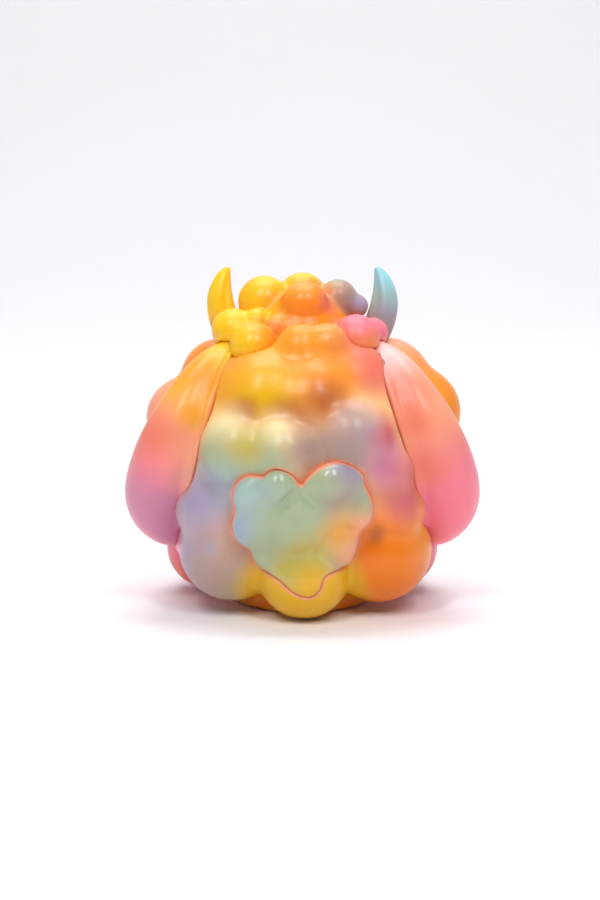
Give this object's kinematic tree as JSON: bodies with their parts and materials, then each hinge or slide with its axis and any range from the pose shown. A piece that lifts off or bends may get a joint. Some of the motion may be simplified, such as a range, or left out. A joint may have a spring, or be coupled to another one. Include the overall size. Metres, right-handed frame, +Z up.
{
  "type": "vinyl art toy",
  "caption": "Ball-shaped creature figure covered in cloud lobes, with curls on top, horns, long swinging lop ears and a scalloped heart on the back.",
  "frame": {"origin": "middle of the flat base disc, on the surface the toy stands on", "axes": "+Z up; the back with the heart faces -Y and the face looks along +Y; +X is to the right seen from behind"},
  "size_m": [0.1194, 0.1029, 0.1138],
  "materials": {
    "body_vinyl": "satin soft vinyl, airbrushed",
    "curl_vinyl": "satin soft vinyl, airbrushed",
    "heart_vinyl": "glossy soft vinyl, airbrushed",
    "face_vinyl": "satin soft vinyl",
    "nose_vinyl": "glossy paint",
    "eye_gloss": "polished",
    "horn_vinyl_left": "satin soft vinyl, airbrushed",
    "horn_vinyl_right": "satin soft vinyl, airbrushed",
    "ear_vinyl_left": "satin soft vinyl, airbrushed",
    "ear_vinyl_right": "satin soft vinyl, airbrushed",
    "foot_vinyl": "satin soft vinyl, airbrushed",
    "base_vinyl": "matte soft vinyl",
    "magnet_metal": "nickel plated"
  },
  "bodies": {
    "toy": {"body_shell": "body_vinyl", "curl_cap": "curl_vinyl", "heart_tail": "heart_vinyl", "face_plate": "face_vinyl", "nose": "nose_vinyl", "eye_left": "eye_gloss", "eye_right": "eye_gloss", "foot_left": "foot_vinyl", "foot_right": "foot_vinyl", "base_plug": "base_vinyl", "magnet_left": "magnet_metal", "magnet_right": "magnet_metal"},
    "ear_left_body": {"ear_left": "ear_vinyl_left"},
    "ear_right_body": {"ear_right": "ear_vinyl_right"},
    "horn_left_body": {"horn_left": "horn_vinyl_left"},
    "horn_right_body": {"horn_right": "horn_vinyl_right"}
  },
  "joints": [
    {"name": "ear_left_swing", "type": "hinge", "parent": "toy", "child": "ear_left_body", "pos_m": [-0.02397, -0.01118, 0.08641], "axis": [0.5327, 0.2484, -0.809], "range_deg": [0, 12]},
    {"name": "ear_right_swing", "type": "hinge", "parent": "toy", "child": "ear_right_body", "pos_m": [0.02397, -0.01118, 0.08641], "axis": [0.5327, -0.2484, 0.809], "range_deg": [0, 12]},
    {"name": "horn_left_twist", "type": "hinge", "parent": "toy", "child": "horn_left_body", "pos_m": [-0.02283, 0.00403, 0.08857], "axis": [-0.5072, 0.0894, 0.8572], "range_deg": [-30, 30]},
    {"name": "horn_right_twist", "type": "hinge", "parent": "toy", "child": "horn_right_body", "pos_m": [0.02283, 0.00403, 0.08857], "axis": [0.5072, 0.0894, 0.8572], "range_deg": [-30, 30]}
  ]
}
